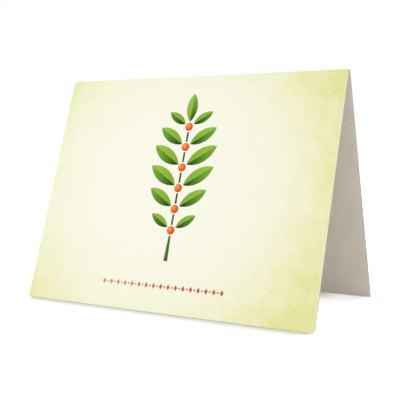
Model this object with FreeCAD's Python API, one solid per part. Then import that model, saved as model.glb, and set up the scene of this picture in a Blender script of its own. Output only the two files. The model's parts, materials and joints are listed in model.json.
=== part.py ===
"""A tent-fold greeting card: one sheet of heavy board, scored and folded once, printed on its front.

Millimetres, +Z up. The fold runs along X and the printed panel faces -Y. The origin is on the
table, midway between the two cut edges that the card stands on. A place on the printed panel is
given by u, along X from the card's middle, and v, down the panel from the folded edge.
"""

import FreeCAD, Part
import math
import os

Vector = FreeCAD.Vector

# The sheet
card_width = 139.7  # along the fold
panel_height = 107.95  # from the folded edge to the cut edge, with the card shut
board_thickness = 0.5
lean_angle = 20.0  # of each panel from upright, in degrees
inside_fold_radius = 0.9
score_bead_width = 1.0  # of the crushed score's bead, across the inside of the fold
score_bead_height = 0.4  # how far the bead stands in from the bend's inside
rubbed_corner_radius = 2.0  # of the printed panel's worn corner, at +X

# The ink, drawn thick enough to be a solid
ink_thickness = 0.03

# The printed sprig: leaves in opposite pairs along a stem, longest at its middle, and one on top
sprig_above_cut_edge = 22.2
sprig_below_fold = 9.0
foot_stem_length = 13.5
foot_stem_width = 2.0
stem_width = 0.9
pair_spacing = 9.4
longest_leaf_length = 16.4
end_leaf_length = 10.6  # in the lowest and highest pairs
top_leaf_length = 13.5
leaf_spread_angle = 57.0  # from the stem's upward direction, in degrees
leaf_gap = 1.5  # between the longest leaves on one side of the stem
berry_radius = 1.9
berry_gap = 0.5  # of bare ground round a berry

# The printed rule under the sprig: lozenges with a dot between each two
rule_above_cut_edge = 11.2
rule_length = 58.0  # between the middles of the first and last lozenges
lozenge_pitch = 3.6
lozenge_width = 1.7
lozenge_height = 2.5
dot_radius = 0.4

# Worked out from the sizes above
lean = math.radians(lean_angle)
upright = math.radians(90)
outside_fold_radius = inside_fold_radius + board_thickness
flat_length = panel_height - outside_fold_radius  # of a panel's outer face, below the bend
fold_centre_z = flat_length * math.cos(lean) - inside_fold_radius * math.sin(lean)
half_width = card_width / 2
inked_radius = outside_fold_radius + ink_thickness
berry_clearance = berry_radius + berry_gap  # from a pair's joint to the leaves and stem round it
lowest_pair_v = panel_height - sprig_above_cut_edge - foot_stem_length
highest_pair_v = sprig_below_fold + top_leaf_length + berry_clearance
spaces_between_pairs = max(1, round((lowest_pair_v - highest_pair_v) / pair_spacing))
pair_pitch = (lowest_pair_v - highest_pair_v) / spaces_between_pairs
leaf_spread = math.radians(leaf_spread_angle)
longest_leaf_width = pair_pitch * math.sin(leaf_spread) - leaf_gap


def section_point(side, off_fold, down_panel):
    """A point of the card's section. side is -1 for the printed panel and 1 for the back one,
    off_fold is measured square to that panel and down_panel along it, both from the fold's axis."""
    y = side * (off_fold * math.cos(lean) + down_panel * math.sin(lean))
    z = fold_centre_z + off_fold * math.sin(lean) - down_panel * math.cos(lean)
    return Vector(0, y, z)


def bend_point(side, radius, angle):
    """A point of the bend's section. side is -1 or 1 as above, and angle is up from level."""
    return Vector(0, side * radius * math.cos(angle), fold_centre_z + radius * math.sin(angle))


def line(start, end):
    return Part.makeLine(start, end)


def arc(start, middle, end):
    return Part.Arc(start, middle, end).toShape()


def along_card(edges):
    """The solid that a closed section sweeps along the fold, over the card's whole width."""
    face = Part.Face(Part.Wire(edges))
    face.translate(Vector(-half_width, 0, 0))
    return face.extrude(Vector(card_width, 0, 0))


def on_panel(edge_lists, base, height):
    """One solid for each outline, drawn in u and minus v, raised from base to base + height above
    the fold's axis and laid along the printed panel."""
    solids = []
    for edges in edge_lists:
        face = Part.Face(Part.Wire(edges))
        face.translate(Vector(0, outside_fold_radius, base))
        solids.append(face.extrude(Vector(0, 0, height)))
    laid = Part.makeCompound(solids) if len(solids) > 1 else solids[0]
    laid.Placement = FreeCAD.Placement(
        Vector(0, 0, fold_centre_z),
        FreeCAD.Rotation(Vector(1, 0, 0), 90 - lean_angle),
    )
    return laid


def polygon(points):
    """The straight edges of a closed outline through (u, v) points."""
    corners = [Vector(u, -v, 0) for u, v in points]
    return [line(a, b) for a, b in zip(corners, corners[1:] + corners[:1])]


def disc(u, v, radius):
    return [Part.makeCircle(radius, Vector(u, -v, 0))]


# The sheet of board

def rubbed_corner():
    """What is missing where the printed panel's corner is rubbed round."""
    radius = rubbed_corner_radius
    low = panel_height
    inner = Vector(half_width - radius, -low, 0)
    outer = Vector(half_width, radius - low, 0)
    centre = Vector(half_width - radius, radius - low, 0)
    diagonal = Vector(math.sqrt(0.5), -math.sqrt(0.5), 0)
    spare = board_thickness  # runs past both faces and both cut edges
    outline = [
        arc(inner, centre + diagonal * radius, outer),
        line(outer, Vector(half_width + spare, radius - low, 0)),
        line(Vector(half_width + spare, radius - low, 0), Vector(half_width + spare, -low - spare, 0)),
        line(Vector(half_width + spare, -low - spare, 0), Vector(half_width - radius, -low - spare, 0)),
        line(Vector(half_width - radius, -low - spare, 0), inner),
    ]
    return on_panel([outline], inside_fold_radius - spare, board_thickness + 2 * spare)


def folded_sheet():
    """Both panels and the bend between them, with the score's bead along the inside of the fold."""
    bead_edge_angle = math.acos(score_bead_width / 2 / inside_fold_radius)
    beside_bead_angle = (lean + bead_edge_angle) / 2
    crest = bend_point(1, outside_fold_radius, upright)
    bead = bend_point(1, inside_fold_radius - score_bead_height, upright)
    outer_bend = {side: section_point(side, outside_fold_radius, 0) for side in (-1, 1)}
    inner_bend = {side: section_point(side, inside_fold_radius, 0) for side in (-1, 1)}
    outer_foot = {side: section_point(side, outside_fold_radius, flat_length) for side in (-1, 1)}
    inner_foot = {side: section_point(side, inside_fold_radius, flat_length) for side in (-1, 1)}
    beside_bead = {side: bend_point(side, inside_fold_radius, beside_bead_angle) for side in (-1, 1)}
    bead_edge = {side: bend_point(side, inside_fold_radius, bead_edge_angle) for side in (-1, 1)}
    sheet = along_card([
        line(outer_foot[-1], outer_bend[-1]),
        arc(outer_bend[-1], crest, outer_bend[1]),
        line(outer_bend[1], outer_foot[1]),
        line(outer_foot[1], inner_foot[1]),
        line(inner_foot[1], inner_bend[1]),
        arc(inner_bend[1], beside_bead[1], bead_edge[1]),
        arc(bead_edge[1], bead, bead_edge[-1]),
        arc(bead_edge[-1], beside_bead[-1], inner_bend[-1]),
        line(inner_bend[-1], inner_foot[-1]),
        line(inner_foot[-1], outer_foot[-1]),
    ])
    return sheet.cut(rubbed_corner())


# The print on the front

def ground_wash():
    """The pale wash that bleeds off the printed panel's cut edges and ends on the fold's crest."""
    halfway = (lean + upright) / 2  # round the bend from the panel to the crest
    board_bend, board_halfway, board_crest = (
        bend_point(-1, outside_fold_radius, angle) for angle in (lean, halfway, upright)
    )
    ink_bend, ink_halfway, ink_crest = (
        bend_point(-1, inked_radius, angle) for angle in (lean, halfway, upright)
    )
    board_foot = section_point(-1, outside_fold_radius, flat_length)
    ink_foot = section_point(-1, inked_radius, flat_length)
    wash = along_card([
        line(board_foot, board_bend),
        arc(board_bend, board_halfway, board_crest),
        line(board_crest, ink_crest),
        arc(ink_crest, ink_halfway, ink_bend),
        line(ink_bend, ink_foot),
        line(ink_foot, board_foot),
    ])
    return wash.cut(rubbed_corner())


def sprig_joints():
    """(v, leaf length) where each pair of leaves joins the stem, from the lowest pair to the highest."""
    joints = []
    for index in range(spaces_between_pairs + 1):
        share = index / spaces_between_pairs
        swell = 4 * share * (1 - share)  # none at either end and 1 at the middle
        length = end_leaf_length + (longest_leaf_length - end_leaf_length) * swell
        joints.append((lowest_pair_v - index * pair_pitch, length))
    return joints


def leaf_half(joint_v, length, angle, side):
    """The half of a leaf on one side of its midrib. angle is the midrib's, clockwise from the
    stem's upward direction, and side is 1 for the half clockwise of it."""
    half_width_here = longest_leaf_width * length / longest_leaf_length / 2
    along = Vector(math.sin(angle), math.cos(angle), 0)
    across = Vector(math.cos(angle), -math.sin(angle), 0)
    base = Vector(0, -joint_v, 0) + along * berry_clearance
    tip = base + along * length
    widest = base + along * (length / 2) + across * (side * half_width_here)
    return [arc(base, widest, tip), line(tip, base)]


def leaf_halves(lit):
    """Every leaf's lit half, nearer to the top of the card, or its shaded half. The top leaf
    stands on the stem, and its lit half is the left one."""
    halves = []
    for v, length in sprig_joints():
        for hand in (-1, 1):
            halves.append(leaf_half(v, length, hand * leaf_spread, -hand if lit else hand))
    halves.append(leaf_half(highest_pair_v, top_leaf_length, 0, -1 if lit else 1))
    return halves


def stem_pieces():
    """The foot of the stem, which widens downwards, and its stretch between each two berries."""
    half_stem = stem_width / 2
    half_foot = foot_stem_width / 2
    foot_v = lowest_pair_v + foot_stem_length
    pieces = [polygon([
        (-half_stem, lowest_pair_v + berry_clearance),
        (half_stem, lowest_pair_v + berry_clearance),
        (half_foot, foot_v),
        (-half_foot, foot_v),
    ])]
    levels = [v for v, _ in sprig_joints()]
    for low_v, high_v in zip(levels, levels[1:]):
        pieces.append(polygon([
            (-half_stem, high_v + berry_clearance),
            (half_stem, high_v + berry_clearance),
            (half_stem, low_v - berry_clearance),
            (-half_stem, low_v - berry_clearance),
        ]))
    return pieces


def rule_marks():
    """Lozenges spread evenly over the rule, and a dot midway between each two."""
    v = panel_height - rule_above_cut_edge
    spaces = max(1, round(rule_length / lozenge_pitch))
    pitch = rule_length / spaces
    marks = []
    for index in range(spaces + 1):
        u = -rule_length / 2 + index * pitch
        marks.append(polygon([
            (u, v - lozenge_height / 2),
            (u + lozenge_width / 2, v),
            (u, v + lozenge_height / 2),
            (u - lozenge_width / 2, v),
        ]))
        if index < spaces:
            marks.append(disc(u + pitch / 2, v, dot_radius))
    return marks


def printed(outlines):
    """Ink on top of the ground wash."""
    return on_panel(outlines, inked_radius, ink_thickness)


parts = {
    "card": folded_sheet(),
    "ground_wash": ground_wash(),
    "leaf_light": printed(leaf_halves(lit=True)),
    "leaf_shade": printed(leaf_halves(lit=False)),
    "stem": printed(stem_pieces()),
    "berries": printed([disc(0, v, berry_radius) for v, _ in sprig_joints()]),
    "rule": printed(rule_marks()),
}

os.makedirs("parts", exist_ok=True)
for name, shape in parts.items():
    shape.exportStep(os.path.join("parts", name + ".step"))
    box = shape.BoundBox
    print(f"{name}: {len(shape.Solids)} solids, valid {shape.isValid()}, {shape.Volume:.1f} mm3, "
          f"x {box.XMin:.2f} to {box.XMax:.2f}, y {box.YMin:.2f} to {box.YMax:.2f}, "
          f"z {box.ZMin:.2f} to {box.ZMax:.2f}")
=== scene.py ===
# %% [markdown]
# # A tent-fold greeting card
# The real thing is one sheet of heavy card board. A creasing rule crushes a line across its middle,
# the sheet is folded once along that line, and it then stands on a table by its two cut edges, like a
# small tent. The front is printed with a pale wash, a leafy sprig and a thin row of lozenges.
#
# The measured solids come first. They are the frame that everything else is fitted to: their places
# are read from them, so nothing here is moved into place by eye.

import json
import math

import bmesh
import bpy
from mathutils import Matrix, Vector


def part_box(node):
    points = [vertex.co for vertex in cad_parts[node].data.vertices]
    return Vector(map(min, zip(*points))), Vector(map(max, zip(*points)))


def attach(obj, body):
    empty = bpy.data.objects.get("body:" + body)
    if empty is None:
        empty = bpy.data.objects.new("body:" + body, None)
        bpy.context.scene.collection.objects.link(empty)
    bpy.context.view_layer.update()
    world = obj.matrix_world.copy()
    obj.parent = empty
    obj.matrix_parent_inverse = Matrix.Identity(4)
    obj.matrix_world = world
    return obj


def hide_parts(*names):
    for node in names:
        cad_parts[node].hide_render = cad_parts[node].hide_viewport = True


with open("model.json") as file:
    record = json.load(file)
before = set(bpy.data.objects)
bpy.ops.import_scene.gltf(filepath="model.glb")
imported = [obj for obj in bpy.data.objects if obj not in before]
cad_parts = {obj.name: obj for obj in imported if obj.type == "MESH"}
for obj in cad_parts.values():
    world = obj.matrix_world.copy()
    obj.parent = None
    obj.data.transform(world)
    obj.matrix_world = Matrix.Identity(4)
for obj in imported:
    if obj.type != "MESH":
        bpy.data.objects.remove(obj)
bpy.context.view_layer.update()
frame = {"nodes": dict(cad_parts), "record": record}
print("measured solids:", sorted(frame["nodes"]))

# %% [markdown]
# ## Sizes
# Blender works in metres and paper is measured in millimetres, so one name turns the second into
# the first. The width and the crest's height are read from the card's own solid. Each panel's lean is
# in the record too, as the direction that the flat back face looks in. What is too small to read
# from a box is written here: the board's thickness, the radius that it is bent to, the bead that
# creasing leaves in the fold, the film of ink and the worn corner.

# %% The card's sizes
MM = 0.001

BOARD_THICKNESS = 0.5 * MM
INSIDE_RADIUS = 0.9 * MM
BEAD_WIDTH = 1.0 * MM
BEAD_HEIGHT = 0.4 * MM
INK_THICKNESS = 0.03 * MM
RUBBED_CORNER = 2.0 * MM

card_high = Vector(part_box("card")[1])
back_face = next(mount for mount in frame["record"]["mounts"] if mount["name"] == "back_face")
LEAN = math.asin(back_face["axis"][2])
HALF_WIDTH = card_high.x
OUTSIDE_RADIUS = INSIDE_RADIUS + BOARD_THICKNESS
FOLD_Z = card_high.z - OUTSIDE_RADIUS
PANEL_LENGTH = (FOLD_Z + INSIDE_RADIUS * math.sin(LEAN)) / math.cos(LEAN)

FOLD_AXIS = Vector((0, 0, FOLD_Z))
FRONT_OUT = Vector((0, -math.cos(LEAN), math.sin(LEAN)))
FRONT_DOWN = Vector((0, -math.sin(LEAN), -math.cos(LEAN)))
BACK_DOWN = Vector((0, math.sin(LEAN), -math.cos(LEAN)))

print(f"width {2 * HALF_WIDTH / MM:.2f} mm, each panel {PANEL_LENGTH / MM:.2f} mm below the bend,")
print(f"leaning {math.degrees(LEAN):.2f} degrees, fold axis {FOLD_Z / MM:.2f} mm above the table")

# %% [markdown]
# ## The camera
# The camera stands a little above the table and well to the right, so the front shows almost whole
# and the open end shows the inside of the back panel. Its place is a real one, in millimetres. It is
# turned in three steps, as a tripod head is: tipped up from looking straight down, swung round, and
# rolled by the fraction of a degree that the picture is out of level.

# %% Place the camera
CAMERA_PLACE = Vector((162.62, -294.39, 72.6)) * MM
CAMERA_SWING = math.radians(28.87)
CAMERA_DIP = math.radians(4.7)
CAMERA_ROLL = math.radians(-0.04)
SENSOR_WIDTH = 36.0
LENS = 66.18

bpy.ops.object.select_all(action="DESELECT")
bpy.ops.object.camera_add()
camera = bpy.context.object
camera.name = "view_of_front"
camera.data.sensor_width = SENSOR_WIDTH
camera.data.lens = LENS
camera.data.clip_start = 10 * MM
tip = Matrix.Rotation(math.pi / 2 - CAMERA_DIP, 4, "X")
swing = Matrix.Rotation(CAMERA_SWING, 4, "Z")
roll = Matrix.Rotation(CAMERA_ROLL, 4, "Z")
camera.matrix_world = Matrix.Translation(CAMERA_PLACE) @ swing @ tip @ roll
bpy.context.scene.camera = camera
print("camera", [round(value / MM, 1) for value in CAMERA_PLACE], "mm, lens", LENS, "mm")

# %% [markdown]
# ## Selecting by place
# Edit-mode operators act on what is selected, and by hand one would click on it. A script selects in
# the same way but by a rule: it gives the kind of element and a test of where it lies or which way it
# looks. One helper is enough for the whole card.

# %% A helper that selects part of a mesh
def choose(piece, kind, test):
    """In edit mode, selects only the vertices, edges or faces that pass the test. Returns how many."""
    bpy.ops.mesh.select_mode(type=kind)
    bpy.ops.mesh.select_all(action="DESELECT")
    mesh = bmesh.from_edit_mesh(piece.data)
    mesh.normal_update()
    elements = {"VERT": mesh.verts, "EDGE": mesh.edges, "FACE": mesh.faces}[kind]
    chosen = [element for element in elements if test(element)]
    for element in chosen:
        element.select_set(True)
    mesh.select_flush_mode()
    bmesh.update_edit_mesh(piece.data)
    return len(chosen)

# %% [markdown]
# Two measures tell where a point of the card is: how far it lies out from the fold's axis, square to
# the front panel, and how far down that panel. Two lengths within a few hundredths of a millimetre
# count as the same, and so do two directions whose cosine is nearly 1.

# %% Measures from the fold
SLACK = 0.02 * MM
SAME_WAY = 0.999


def out_from_fold(point):
    return (point - FOLD_AXIS).dot(FRONT_OUT)


def down_from_fold(point):
    return (point - FOLD_AXIS).dot(FRONT_DOWN)


def round_fold(point):
    """The distance from the fold's axis, whichever way it lies."""
    return math.hypot(point.y, point.z - FOLD_Z)

# %% [markdown]
# ## The folded sheet
# A sheet of board has a front and a back that run parallel everywhere, round the bend as well. The
# surest way to get that is to make one skin, the outer one, and to give it its thickness at the end.
#
# The skin starts as a plane lying where the front panel lies. Its worn lower corner is rounded while
# it is still flat. Close to the bend it gets a narrow strip of its own: without it, smooth shading
# would spread the bend's curve over the whole panel and the flat board would look like a pillow.

# %% The front panel
SUPPORT_STRIP = 0.4 * MM
CORNER_STEPS = 8

flat_part = PANEL_LENGTH - SUPPORT_STRIP
bend_start = FOLD_AXIS + FRONT_OUT * OUTSIDE_RADIUS
panel_middle = bend_start + FRONT_DOWN * (SUPPORT_STRIP + flat_part / 2)

bpy.ops.object.select_all(action="DESELECT")
bpy.ops.mesh.primitive_plane_add(size=1, location=panel_middle, rotation=(math.pi / 2 - LEAN, 0, 0))
sheet = bpy.context.object
sheet.name = "folded_sheet"
sheet.scale = (2 * HALF_WIDTH, flat_part, 1)
bpy.ops.object.transform_apply(location=True, rotation=True, scale=True)

bpy.ops.object.mode_set(mode="EDIT")
choose(sheet, "VERT", lambda corner: corner.co.x > 0 and corner.co.z < FOLD_Z / 2)
bpy.ops.mesh.bevel(
    offset=RUBBED_CORNER,
    offset_type="OFFSET",
    segments=CORNER_STEPS,
    profile=0.5,
    affect="VERTICES",
)
print("front panel with its corner rounded to", RUBBED_CORNER / MM, "mm")

# %% [markdown]
# The bend is a spin of the panel's upper edge about the fold's axis, over the top to the other side.
# The back panel is that edge again, extruded down the other slope.

# %% The bend and the back panel
BEND_STEPS = 12
WELD_DISTANCE = 0.001 * MM


def extrude_edge(step):
    bpy.ops.mesh.extrude_region_move(TRANSFORM_OT_translate={"value": step})


upper_end = bend_start + FRONT_DOWN * SUPPORT_STRIP
choose(sheet, "VERT", lambda corner: abs(corner.co.z - upper_end.z) < SLACK)
extrude_edge(-FRONT_DOWN * SUPPORT_STRIP)
bpy.ops.mesh.spin(
    steps=BEND_STEPS,
    angle=math.pi - 2 * LEAN,
    center=FOLD_AXIS,
    axis=(1, 0, 0),
)
extrude_edge(BACK_DOWN * SUPPORT_STRIP)
extrude_edge(BACK_DOWN * flat_part)

bpy.ops.mesh.select_all(action="SELECT")
bpy.ops.mesh.remove_doubles(threshold=WELD_DISTANCE)
bpy.ops.mesh.normals_make_consistent(inside=False)
if choose(sheet, "FACE", lambda face: face.normal.dot(FRONT_OUT) < -SAME_WAY):
    bpy.ops.mesh.select_all(action="SELECT")
    bpy.ops.mesh.flip_normals()
bpy.ops.object.mode_set(mode="OBJECT")
print("skin:", len(sheet.data.polygons), "faces,", len(sheet.data.vertices), "vertices")

# %% [markdown]
# Solidify now grows the thickness inwards from the skin, evenly, so the cut edges come out square to
# the board, as a guillotine leaves them.

# %% The board's thickness
thickness = sheet.modifiers.new("board", "SOLIDIFY")
thickness.thickness = BOARD_THICKNESS
thickness.offset = -1
thickness.use_even_offset = True
bpy.ops.object.modifier_apply(modifier=thickness.name)
print("with thickness:", len(sheet.data.polygons), "faces")

# %% [markdown]
# Creasing crushes the board into a small ridge, the bead, and folding turns it to the inside, under
# the crest. The middle of the inner bend's hollow makes that ridge when it is turned upside down
# about the level of the bead's edges, and stretched until it stands as high as the bead does.

# %% The bead in the fold
bead_edge_up = math.sqrt(INSIDE_RADIUS**2 - (BEAD_WIDTH / 2) ** 2)
hollow_depth = INSIDE_RADIUS - bead_edge_up
stretch = (BEAD_HEIGHT - hollow_depth) / hollow_depth


def in_bead(corner):
    on_inner_bend = abs(round_fold(corner.co) - INSIDE_RADIUS) < SLACK
    return on_inner_bend and corner.co.z - FOLD_Z > bead_edge_up


bpy.ops.object.mode_set(mode="EDIT")
turned = choose(sheet, "VERT", in_bead)
bpy.ops.transform.resize(
    value=(1, 1, -stretch),
    center_override=FOLD_AXIS + Vector((0, 0, bead_edge_up)),
)
print("bead:", turned, "vertices turned over, stretched", round(stretch, 2), "times")

# %% [markdown]
# The front's outer face is raised by the film of ink, so that the printed motif, which the solids
# hold as thin films of its own, lies flush on it.

# %% The printed face's height
def on_front(face):
    """True for the front panel's outer faces."""
    place = out_from_fold(face.calc_center_median())
    return face.normal.dot(FRONT_OUT) > SAME_WAY and place > OUTSIDE_RADIUS - SLACK


raised = choose(sheet, "FACE", on_front)
bpy.ops.transform.translate(value=FRONT_OUT * INK_THICKNESS)
print("front:", raised, "faces raised by", INK_THICKNESS / MM, "mm")

# %% [markdown]
# No real edge is perfectly sharp. A cut edge is rounded by a few hundredths of a millimetre, and
# that is what catches the light along the border of the card.

# %% Soften the cut edges
EDGE_SOFTNESS = 0.07 * MM
SOFT_STEPS = 2
HARD_ANGLE = math.radians(60)

softened = choose(
    sheet,
    "EDGE",
    lambda edge: edge.is_convex and edge.calc_face_angle(0) > HARD_ANGLE,
)
bpy.ops.mesh.bevel(offset=EDGE_SOFTNESS, segments=SOFT_STEPS, affect="EDGES", clamp_overlap=True)
print("softened", softened, "edges")

# %% [markdown]
# Along the right edge the print gives way to a pale border about a millimetre wide, where the
# board's colour shows through the ink. It runs on round the rubbed corner and ends in it. Insetting
# the front face gives the border its own narrow faces, which follow the corner by themselves. A value
# on their outer vertices, none on the inner ones, tells the printed material where the board shows.
# The strips next to the fold are left out, and there the print runs to the edge.

# %% The pale border
PALE_BORDER = 1.0 * MM

choose(sheet, "FACE", lambda face: on_front(face) and face.calc_area() > HALF_WIDTH * flat_part)
bpy.ops.mesh.inset(thickness=PALE_BORDER, depth=0)
bpy.ops.object.mode_set(mode="OBJECT")

front_faces = [
    face
    for face in sheet.data.polygons
    if face.normal.dot(FRONT_OUT) > SAME_WAY and out_from_fold(face.center) > OUTSIDE_RADIUS
]
printed_face = max(front_faces, key=lambda face: face.area)
strips_at_fold = SUPPORT_STRIP + PALE_BORDER
border = [
    face
    for face in front_faces
    if face != printed_face and down_from_fold(face.center) > strips_at_fold
]


def pale_edge_at(point):
    """1 along the right edge, falling to 0 round the rubbed corner, and 0 everywhere else."""
    above_foot = PANEL_LENGTH - down_from_fold(point)
    return min(1.0, max(0.0, above_foot / RUBBED_CORNER)) if point.x > 0 else 0.0


pale_edge = sheet.data.attributes.new("pale_edge", "FLOAT", "CORNER")
inner_vertices = set(printed_face.vertices)
for face in border:
    for loop in face.loop_indices:
        vertex = sheet.data.loops[loop].vertex_index
        board_shows = 0.0 if vertex in inner_vertices else pale_edge_at(sheet.data.vertices[vertex].co)
        pale_edge.data[loop].value = board_shows
print("rubbed border:", len(border), "faces")

# %% [markdown]
# The sheet shows three surfaces: bare board, print and the cut through the board. Each face is given
# its own by where it lies. Print covers the front's outer face and laps over the bend to its crest.
# Shading is smooth only across angles under twenty degrees, so the bend is round and the softened
# cut edges stay crisp.

# %% Give each face its surface
BARE_BOARD, PRINTED, CUT_EDGE = range(3)
SMOOTH_ANGLE = math.radians(20)
SIDEWAYS = 0.3
DOWNWARDS = -0.5
FOOT_HEIGHT = 2 * BOARD_THICKNESS


def on_print(face):
    place = face.calc_center_median()
    on_bend = round_fold(place) > OUTSIDE_RADIUS - 2 * SLACK and place.z > FOLD_Z and place.y < 0
    return on_front(face) or (on_bend and abs(face.normal.x) < SIDEWAYS)


def on_cut(face):
    at_foot = face.calc_center_median().z < FOOT_HEIGHT
    return abs(face.normal.x) > SIDEWAYS or (at_foot and face.normal.z < DOWNWARDS)


for surface in ("uncoated_board", "satin_printed_board", "guillotined_board_edge"):
    sheet.data.materials.append(bpy.data.materials.new(surface))
bpy.ops.object.mode_set(mode="EDIT")
for surface, test in ((PRINTED, on_print), (CUT_EDGE, on_cut)):
    sheet.active_material_index = surface
    count = choose(sheet, "FACE", test)
    bpy.ops.object.material_slot_assign()
    print(sheet.data.materials[surface].name, "on", count, "faces")
bpy.ops.object.mode_set(mode="OBJECT")
bpy.ops.object.shade_smooth_by_angle(angle=SMOOTH_ANGLE)

# %% [markdown]
# ## Colours and nodes
# Print colours are written as they look on screen, in sRGB, but shaders reckon in linear light, so
# one function turns the first into the second. A second function fills the inputs of a node, and a
# third adds a node with its settings, its inputs and, on a colour ramp, its colours.

# %% Helpers for materials
def linear(hex_colour):
    """A hex sRGB colour as linear red, green, blue and a full alpha."""
    channels = [int(hex_colour[start : start + 2], 16) / 255 for start in (1, 3, 5)]
    return [c / 12.92 if c <= 0.04045 else ((c + 0.055) / 1.055) ** 2.4 for c in channels] + [1.0]


def fill(tree, node, inputs):
    """Fills inputs, each by its name, or by its number where two share a name. A value is set, a
    socket is linked, and a node stands for its first output in use."""
    for name, value in inputs.items():
        named = (socket for socket in node.inputs if socket.enabled and socket.name == name)
        target = node.inputs[name] if isinstance(name, int) else next(named)
        if isinstance(value, bpy.types.Node):
            value = next(socket for socket in value.outputs if socket.enabled)
        if isinstance(value, bpy.types.NodeSocket):
            tree.links.new(value, target)
        else:
            target.default_value = value


def add_node(tree, kind, inputs=None, stops=(), **settings):
    """Adds a node. stops are the places, from 0 to 1, and the colours of a colour ramp."""
    node = tree.nodes.new("ShaderNode" + kind)
    for name, value in settings.items():
        setattr(node, name, value)
    fill(tree, node, inputs or {})
    if stops:
        elements = node.color_ramp.elements
        elements.remove(elements[1])
        elements[0].position, elements[0].color = stops[0][0], linear(stops[0][1])
        for position, colour in stops[1:]:
            elements.new(position).color = linear(colour)
    return node

# %% [markdown]
# A printed pattern belongs to the panel that it is printed on. Object coordinates are the card's own,
# and turning them by the panel's lean gives three measures that follow the panel: X across it, Y
# through it and Z up it, in metres from the fold's axis. Every printed material starts with them, so
# the wash and the inks agree on where they are.
#
# Two patterns come up on every surface of the card. Soft clouds vary a colour or a gloss, since no
# pulp and no film of ink is quite even. A fine relief, the tooth, keeps light from lying dead flat.
# Noise seldom leaves the middle half of its range, so the clouds spread that half over the whole.
# Where a value in the cells below is a pair, it holds the two ends that the clouds wander between.

# %% Places and patterns that the surfaces share
NOISE_LOW, NOISE_HIGH = 0.25, 0.75
NOISE_DETAIL = 3.0
NOISE_ROUGHNESS = 0.6


def panel_place(tree):
    return add_node(
        tree,
        "Mapping",
        {
            "Vector": add_node(tree, "TexCoord").outputs["Object"],
            "Rotation": (LEAN, 0, 0),
            "Location": (0, FOLD_Z * math.sin(LEAN), -FOLD_Z * math.cos(LEAN)),
        },
    )


def clouds(tree, place, size, low, high, detail=NOISE_DETAIL):
    """Soft blotches about size metres wide, which wander between low and high."""
    noise = {"Vector": place, "Scale": 1 / size, "Detail": detail, "Roughness": NOISE_ROUGHNESS}
    blotches = add_node(tree, "TexNoise", noise)
    middle_half = {"Value": blotches, "From Min": NOISE_LOW, "From Max": NOISE_HIGH}
    return add_node(tree, "MapRange", {**middle_half, "To Min": low, "To Max": high})


def tooth(tree, place, hill, height):
    """A relief of hills about hill metres wide."""
    noise = {"Vector": place, "Scale": 1 / hill, "Detail": NOISE_DETAIL}
    return add_node(tree, "Bump", {"Height": add_node(tree, "TexNoise", noise), "Distance": height})


def shader_of(material):
    """A material's node tree and the shader in it."""
    material.use_nodes = True
    return material.node_tree, material.node_tree.nodes["Principled BSDF"]

# %% [markdown]
# ## Bare board
# The inside and the back are the board itself: bleached pulp, uncoated, a warm white and quite
# matt. Up close it isn't one colour. Pulp settles in soft clouds a few millimetres wide, and its
# fibres lie every way. Real fibres are some hundredths of a millimetre thick, which no picture of a
# whole card shows, so they are drawn more than ten times as coarse.

# %% Uncoated board
BOARD_STOPS = ((0.0, "#E8E0D2"), (0.5, "#EFE9DD"), (1.0, "#F5F1E8"))
BOARD_ROUGHNESS = (0.75, 0.9)
PULP_CLOUD = 8 * MM
CLOUD_DEPTH = 0.25
FIBRE = 0.5 * MM
FIBRE_DEPTH = 0.25
FIBRE_RELIEF = 0.02 * MM


def board_colour(tree, place):
    cloudy = clouds(tree, place, PULP_CLOUD, 0.5 - CLOUD_DEPTH, 0.5 + CLOUD_DEPTH)
    fibrous = clouds(tree, place, FIBRE, -FIBRE_DEPTH, FIBRE_DEPTH)
    both = add_node(tree, "Math", {0: cloudy, 1: fibrous}, operation="ADD")
    return add_node(tree, "ValToRGB", {"Fac": both}, stops=BOARD_STOPS)


tree, shader = shader_of(bpy.data.materials["uncoated_board"])
place = add_node(tree, "TexCoord").outputs["Object"]
fill(
    tree,
    shader,
    {
        "Base Color": board_colour(tree, place),
        "Roughness": clouds(tree, place, FIBRE, *BOARD_ROUGHNESS),
        "Specular IOR Level": 0.35,
        "Normal": tooth(tree, place, FIBRE, FIBRE_RELIEF),
    },
)
print("uncoated board, clouds", PULP_CLOUD / MM, "mm, fibres", FIBRE / MM, "mm")

# %% [markdown]
# ## The cut through the board
# A guillotine's blade shears the board and leaves its plies showing as fine streaks that run along
# the edge, rougher than its faces. The edge's colours are a little darker than the board's, and that
# is painted shade, for the shade that the cut edges lie in. The pattern is a cloud pattern squeezed
# through the board's thickness and stretched along the cut. Both panels are cut the same way, so it
# reads the distance from the card's middle plane without its sign, leaned back as the panels lean.

# %% Guillotined board edge
# These colours are darker than the board: painted shade.
EDGE_STOPS_WITH_PAINTED_SHADE = ((0.0, "#BDB6A0"), (0.5, "#D3CDB9"), (1.0, "#E2DDCC"))
PLY_STREAK = 0.12 * MM
STREAK_LENGTH = 4 * MM

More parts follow.
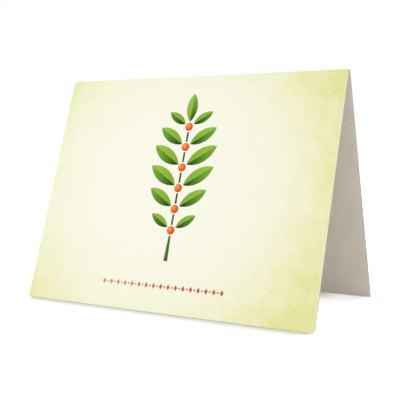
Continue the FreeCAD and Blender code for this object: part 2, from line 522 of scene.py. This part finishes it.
tree, shader = shader_of(bpy.data.materials["guillotined_board_edge"])
place = add_node(tree, "TexCoord").outputs["Object"]
sides = add_node(tree, "SeparateXYZ", {"Vector": place})
unsigned = add_node(tree, "Math", {0: sides.outputs["Y"]}, operation="ABSOLUTE")
folded_over = add_node(
    tree,
    "CombineXYZ",
    {"X": sides.outputs["X"], "Y": unsigned, "Z": sides.outputs["Z"]},
)
through_board = add_node(
    tree,
    "Mapping",
    {
        "Vector": folded_over,
        "Rotation": (-LEAN, 0, 0),
        "Location": (0, -FOLD_Z * math.sin(LEAN), -FOLD_Z * math.cos(LEAN)),
    },
)
streak_scale = (1 / STREAK_LENGTH, 1 / PLY_STREAK, 1 / STREAK_LENGTH)
squeezed = add_node(tree, "Mapping", {"Vector": through_board, "Scale": streak_scale})
streaks = clouds(tree, squeezed, size=1.0, low=0.0, high=1.0)
fill(
    tree,
    shader,
    {
        "Base Color": add_node(tree, "ValToRGB", {"Fac": streaks}, stops=EDGE_STOPS_WITH_PAINTED_SHADE),
        "Roughness": 0.9,
        "Specular IOR Level": 0.3,
        "Normal": tooth(tree, place, FIBRE, FIBRE_RELIEF),
    },
)
print("cut edge, streaks", PLY_STREAK / MM, "by", STREAK_LENGTH / MM, "mm")

# %% [markdown]
# ## The printed front
# The wash is a pale cream that deepens to yellow-green towards the edges of the panel, slowly at
# first and then quickly, about a palest place a little left of the middle. So its depth is a power
# of the distance from that place. The ink isn't even: blotches a centimetre across and finer ones
# down to less than a millimetre make it stronger or weaker, and in places it tends to cream. Coating
# over the print gives it a satin gloss, which softens the tooth of the board.

# %% The wash
WASH_STOPS = ((0.0, "#F9F8E9"), (0.5, "#EEEEBF"), (1.0, "#E2E394"))
WASH_CREAM = "#F3EBD0"
PALEST_ACROSS = -8.8 * MM
PALEST_DOWN = 49.5 * MM
WASH_REACH_ACROSS = 81.7 * MM
WASH_REACH_DOWN = 82.0 * MM
WASH_FALLOFF = 3.88
WASH_STRENGTH = 0.762
WASH_BLOTCH = 9 * MM
BLOTCH_DEPTH = 0.28
BLOTCH_DETAIL = 5.0
WASH_SPECK = 2.2 * MM
SPECK_DEPTH = 0.18
CREAM_PATCH = 16 * MM
CREAM_SHARE = (-0.35, 0.55)


def wash_depth(tree, place):
    """How deep the wash is, from 0 at its palest."""
    from_palest = add_node(
        tree,
        "Mapping",
        {
            "Vector": place,
            "Scale": (1 / WASH_REACH_ACROSS, 0, 1 / WASH_REACH_DOWN),
            "Location": (-PALEST_ACROSS / WASH_REACH_ACROSS, 0, PALEST_DOWN / WASH_REACH_DOWN),
        },
    )
    distance = add_node(tree, "VectorMath", {"Vector": from_palest}, operation="LENGTH")
    falloff = add_node(tree, "Math", {0: distance, 1: WASH_FALLOFF}, operation="POWER")
    weak, strong = WASH_STRENGTH - BLOTCH_DEPTH, WASH_STRENGTH + BLOTCH_DEPTH
    blotches = clouds(tree, place, WASH_BLOTCH, weak, strong, BLOTCH_DETAIL)
    specks = clouds(tree, place, WASH_SPECK, -SPECK_DEPTH, SPECK_DEPTH)
    uneven = add_node(tree, "Math", {0: blotches, 1: specks}, operation="ADD")
    return add_node(tree, "Math", {0: falloff, 1: uneven}, operation="MULTIPLY")


def wash_colour(tree, place):
    depth = wash_depth(tree, place)
    green = add_node(tree, "ValToRGB", {"Fac": depth}, stops=WASH_STOPS)
    patches = clouds(tree, place, CREAM_PATCH, *CREAM_SHARE)
    share = add_node(tree, "Math", {0: patches, 1: depth}, operation="MULTIPLY", use_clamp=True)
    return add_node(
        tree,
        "Mix",
        {"Factor": share, "A": green, "B": linear(WASH_CREAM)},
        data_type="RGBA",
    )

# %% [markdown]
# Along the pale border the board's colour shows through the ink, more in some places than in
# others. The border's own value says where, and a cloud pattern breaks it up.

# %% Satin printed board
PALE_PATCH = 1.5 * MM
BOARD_SHARE_RANGE = (0.4, 0.9)
GLOSS_PATCH = 4 * MM
PRINT_ROUGHNESS = (0.4, 0.52)
PRINT_TOOTH = 0.7 * MM
PRINT_RELIEF = 0.01 * MM


def satin_print(tree, shader, place, colour):
    """Gives a shader the finish of coated print."""
    inputs = {
        "Base Color": colour,
        "Roughness": clouds(tree, place, GLOSS_PATCH, *PRINT_ROUGHNESS),
        "Specular IOR Level": 0.15,
        "Normal": tooth(tree, place, PRINT_TOOTH, PRINT_RELIEF),
    }
    fill(tree, shader, inputs)


tree, shader = shader_of(bpy.data.materials["satin_printed_board"])
place = panel_place(tree)
# The border's value: where the board's colour shows through along the right edge.
rubbed = add_node(tree, "Attribute", attribute_name="pale_edge").outputs["Fac"]
board_shows = clouds(tree, place, PALE_PATCH, *BOARD_SHARE_RANGE)
board_share = add_node(tree, "Math", {0: rubbed, 1: board_shows}, operation="MULTIPLY", use_clamp=True)
ground = add_node(
    tree,
    "Mix",
    {"Factor": board_share, "A": wash_colour(tree, place), "B": board_colour(tree, place)},
    data_type="RGBA",
)
satin_print(tree, shader, place, ground)
print(f"satin print, its wash palest {PALEST_DOWN / MM:.1f} mm down from the fold's axis")

# %% [markdown]
# ## The inks
# The sprig, its berries and the rule are offset inks, printed over the wash under the same coat. The
# solids already hold them as films at their true shape and place, so they stay as they are, and only
# get a material. Each colour shades off as a printed picture of a leaf or a berry does, and a fine
# grain breaks it up, because ink sits a little unevenly on the tooth of the board.
#
# A place on the sprig is measured from its highest berry, and that is read from the berries' box.

# %% Measure the berries
BERRY_COUNT = 6

berries_low, berries_high = (Vector(corner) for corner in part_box("berries"))
BERRY_RADIUS = berries_high.x
HIGHEST_BERRY_DOWN = down_from_fold(berries_high) + BERRY_RADIUS
LOWEST_BERRY_DOWN = down_from_fold(berries_low) - BERRY_RADIUS
BERRY_PITCH = (LOWEST_BERRY_DOWN - HIGHEST_BERRY_DOWN) / (BERRY_COUNT - 1)
print(f"berries {BERRY_RADIUS / MM:.2f} mm in radius, {BERRY_PITCH / MM:.2f} mm apart")

# %% One function for every ink
INK_GRAIN = 0.6 * MM
INK_UNEVENNESS = 0.1


def print_ink(node_name, material_name, value_of, stops):
    """Gives a printed solid a satin ink whose colour runs through the stops as value_of says."""
    material = bpy.data.materials.new(material_name)
    tree, shader = shader_of(material)
    place = panel_place(tree)
    colour = add_node(tree, "ValToRGB", {"Fac": value_of(tree, place)}, stops=stops)
    grain = clouds(tree, place, INK_GRAIN, 1 - INK_UNEVENNESS, 1 + INK_UNEVENNESS)
    grained = add_node(
        tree,
        "Mix",
        {"Factor": 1.0, "A": colour, "B": grain},
        data_type="RGBA",
        blend_type="MULTIPLY",
    )
    satin_print(tree, shader, place, grained)
    frame["nodes"][node_name].material_slots[0].material = material
    print(node_name, "is", material_name)

# %% [markdown]
# Leaves darken towards the stem. Those in pairs grow sideways, so the distance from the stem tells
# how far along them a place is. The top leaf grows upwards, so there the height above its berry tells
# it, and the larger of the two measures serves them all.

# %% Leaves and stem
LEAF_REACH = 16 * MM
TOP_LEAF_REACH = 15 * MM
LIT_STOPS = ((0.0, "#6E9C26"), (0.4, "#86B534"), (1.0, "#9DC54C"))
SHADED_STOPS = ((0.0, "#0A2200"), (0.25, "#1E4206"), (0.6, "#5B8C20"), (1.0, "#82B034"))
STEM_STOPS = ((0.0, "#264206"), (1.0, "#4E7418"))


def along_leaf(tree, place):
    """From 0 at the stem to 1 at a leaf's tip."""
    sides = add_node(tree, "SeparateXYZ", {"Vector": place})
    aside = add_node(tree, "Math", {0: sides.outputs["X"]}, operation="ABSOLUTE")
    out = add_node(tree, "MapRange", {"Value": aside, "From Max": LEAF_REACH})
    up = add_node(
        tree,
        "MapRange",
        {
            "Value": sides.outputs["Z"],
            "From Min": -HIGHEST_BERRY_DOWN,
            "From Max": TOP_LEAF_REACH - HIGHEST_BERRY_DOWN,
        },
    )
    return add_node(tree, "Math", {0: out, 1: up}, operation="MAXIMUM")


def along_stem(tree, place):
    """The stem wanders between its two greens from one berry to the next."""
    return clouds(tree, place, BERRY_PITCH, 0.0, 1.0)


print_ink("leaf_light", "light_green_offset_ink", along_leaf, LIT_STOPS)
print_ink("leaf_shade", "dark_green_offset_ink", along_leaf, SHADED_STOPS)
print_ink("stem", "stem_green_offset_ink", along_stem, STEM_STOPS)

# %% [markdown]
# A berry is lit from its upper left and reddens towards its rim. All the berries share one material:
# wrapping the height at the distance from one berry to the next makes each of them its own middle.

# %% Berries
BERRY_STOPS = ((0.0, "#FAA24C"), (0.45, "#EE7826"), (0.8, "#DD581E"), (1.0, "#C64618"))
HIGHLIGHT_OFFSET = 0.3
BERRY_SHADE_REACH = 1.3


def round_berry(tree, place):
    """From 0 at a berry's lit place to 1 at its far rim."""
    sides = add_node(tree, "SeparateXYZ", {"Vector": place})
    height = add_node(tree, "Math", {0: sides.outputs["Z"], 1: HIGHEST_BERRY_DOWN}, operation="ADD")
    wrapped = add_node(
        tree,
        "Math",
        {0: height, 1: -BERRY_PITCH / 2, 2: BERRY_PITCH / 2},
        operation="WRAP",
    )
    own_place = add_node(tree, "CombineXYZ", {"X": sides.outputs["X"], "Z": wrapped})
    scale = 1 / (BERRY_RADIUS * BERRY_SHADE_REACH)
    shift = HIGHLIGHT_OFFSET / BERRY_SHADE_REACH
    from_light = add_node(
        tree,
        "Mapping",
        {"Vector": own_place, "Scale": (scale, 0, scale), "Location": (shift, 0, -shift)},
    )
    return add_node(tree, "VectorMath", {"Vector": from_light}, operation="LENGTH")


print_ink("berries", "orange_offset_ink", round_berry, BERRY_STOPS)

# %% [markdown]
# The rule's ink is a pale tan at its left end. It reaches a full brick red at its middle and keeps
# it from there to its right end.

# %% Rule
RULE_STOPS = ((0.0, "#D09C76"), (0.3, "#CF8A64"), (0.5, "#CD5E3E"), (1.0, "#CD5A3C"))

rule_half = Vector(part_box("rule")[1]).x


def along_rule(tree, place):
    across = add_node(tree, "SeparateXYZ", {"Vector": place}).outputs["X"]
    return add_node(tree, "MapRange", {"Value": across, "From Min": -rule_half, "From Max": rule_half})


print_ink("rule", "red_offset_ink", along_rule, RULE_STOPS)

# %% [markdown]
# ## Light, floor and background
# The card stands in a white studio. The world around it is the main light, the same from all sides,
# and one large soft lamp in front gives the front a little more than the rest. Together they bring
# a colour on the front out about as it is written. Behind the card everything is plain white, which
# comes from the world and the floor seen directly or mirrored, and not from more light on the card.

# %% What is seen directly
def seen(tree):
    """1 where the camera, a reflection or a clear thing looks, and 0 where light is gathered."""
    path = add_node(tree, "LightPath").outputs
    mirrored = add_node(
        tree,
        "Math",
        {0: path["Is Glossy Ray"], 1: path["Is Transmission Ray"]},
        operation="MAXIMUM",
    )
    return add_node(tree, "Math", {0: path["Is Camera Ray"], 1: mirrored}, operation="MAXIMUM")

# %% World and lamp
WHITE = "#FFFFFF"
WORLD_LIGHT = 0.93
LAMP_PLACE = Vector((-150, -620, 160)) * MM
LAMP_SIZE = 350 * MM
LAMP_WATTS = 0.5

world = bpy.data.worlds.new("white_studio")
bpy.context.scene.world = world
world.use_nodes = True
tree = world.node_tree
strength = add_node(tree, "MapRange", {"Value": seen(tree), "To Min": WORLD_LIGHT, "To Max": 1.0})
fill(tree, tree.nodes["Background"], {"Color": linear(WHITE), "Strength": strength})

bpy.ops.object.select_all(action="DESELECT")
bpy.ops.object.light_add(
    type="AREA",
    location=LAMP_PLACE,
    rotation=(FOLD_AXIS / 2 - LAMP_PLACE).to_track_quat("-Z", "Y").to_euler(),
)
lamp = bpy.context.object
lamp.name = "soft_lamp"
lamp.data.size = LAMP_SIZE
lamp.data.energy = LAMP_WATTS
print("world", WORLD_LIGHT, "and a lamp of", LAMP_WATTS, "W")

# %% [markdown]
# The floor is a sheet of white paper, which reaches past the picture's sides and far behind the
# card. It takes the card's shadow as any floor does, and a glow that only the camera and reflections
# see lifts the open floor to the white of the background.
#
# A thin board would float on so white a floor, so a shade is painted into the paper's colour and
# glow at its feet, where little of the sky is open, and it pales again about a centimetre out. Inside
# the tent that painted shade is full in the middle and is painted lighter towards the open ends,
# where light comes in. Past the ends there is none.

# %% The painted shade at the card's feet
CONTACT_REACH = 16 * MM
OPEN_AT_CONTACT = 0.68
CONTACT_SHADE = 0.47
SHADE_FADE = 3 * MM
LIGHT_COMES_IN = 26 * MM
LIGHT_IS_FULL = 14 * MM
LIGHT_INSIDE = 0.75


def shade_at_feet(tree):
    """The strength of the floor's painted shade: 1 on open floor, and less at the card's feet."""
    place = add_node(tree, "TexCoord").outputs["Object"]
    unsigned = add_node(tree, "VectorMath", {"Vector": place}, operation="ABSOLUTE")
    inwards = add_node(tree, "VectorMath", {0: card_high, 1: unsigned}, operation="SUBTRACT")
    sides = add_node(tree, "SeparateXYZ", {"Vector": inwards})
    from_end, from_foot = sides.outputs["X"], sides.outputs["Y"]
    inside = add_node(tree, "MapRange", {"Value": from_foot, "From Max": SHADE_FADE})
    near_end = {"Value": from_end, "From Min": LIGHT_COMES_IN, "From Max": LIGHT_IS_FULL}
    light = add_node(tree, "MapRange", {**near_end, "To Max": LIGHT_INSIDE})
    light_inside = add_node(tree, "Math", {0: inside, 1: light}, operation="MULTIPLY")
    past_end = {"Value": from_end, "From Min": SHADE_FADE, "From Max": 0.0}
    light_everywhere = add_node(tree, "MapRange", {**past_end, "To Min": light_inside, "To Max": 1.0})

    openness = add_node(tree, "AmbientOcclusion", {"Distance": CONTACT_REACH}).outputs["AO"]
    how_open = {"Value": openness, "From Min": OPEN_AT_CONTACT, "From Max": 1.0}
    shade = add_node(tree, "MapRange", {**how_open, "To Min": CONTACT_SHADE, "To Max": 1.0})
    return add_node(tree, "MapRange", {"Value": light_everywhere, "To Min": shade, "To Max": 1.0})

# %% [markdown]
# Only what looks at the paper sees that painted shade, in the paper's colour and in its glow. The
# light that the paper throws back on the card stays whole.
#
# The Standard view then shows each colour as the light leaves it, with no film-like curve over it.

# %% Floor
FLOOR_SIZE = 4.0
FLOOR_WHITE = "#EDEDEB"
FLOOR_GLOW = 0.55

bpy.ops.object.select_all(action="DESELECT")
bpy.ops.mesh.primitive_plane_add(size=FLOOR_SIZE, location=(0, 0, 0))
floor = bpy.context.object
floor.name = "floor"
floor_material = bpy.data.materials.new("white_paper_floor")
floor.data.materials.append(floor_material)
tree, shader = shader_of(floor_material)
painted_shade = shade_at_feet(tree)
looked_at = seen(tree)
paper = add_node(
    tree,
    "Mix",
    {"Factor": looked_at, "A": linear(FLOOR_WHITE), "B": painted_shade},
    data_type="RGBA",
    blend_type="MULTIPLY",
)
glow = add_node(tree, "Math", {0: painted_shade, 1: FLOOR_GLOW}, operation="MULTIPLY")
glow_strength = add_node(tree, "Math", {0: looked_at, 1: glow}, operation="MULTIPLY")
inputs = {
    "Base Color": paper,
    "Roughness": 0.9,
    "Specular IOR Level": 0.0,
    "Emission Color": linear(WHITE),
    "Emission Strength": glow_strength,
}
fill(tree, shader, inputs)
print("floor", FLOOR_SIZE, "m wide, with a glow of", FLOOR_GLOW)

bpy.context.scene.view_settings.view_transform = "Standard"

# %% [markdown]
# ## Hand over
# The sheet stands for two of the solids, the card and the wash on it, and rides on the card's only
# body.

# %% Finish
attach(sheet, "root")
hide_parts("card", "ground_wash")
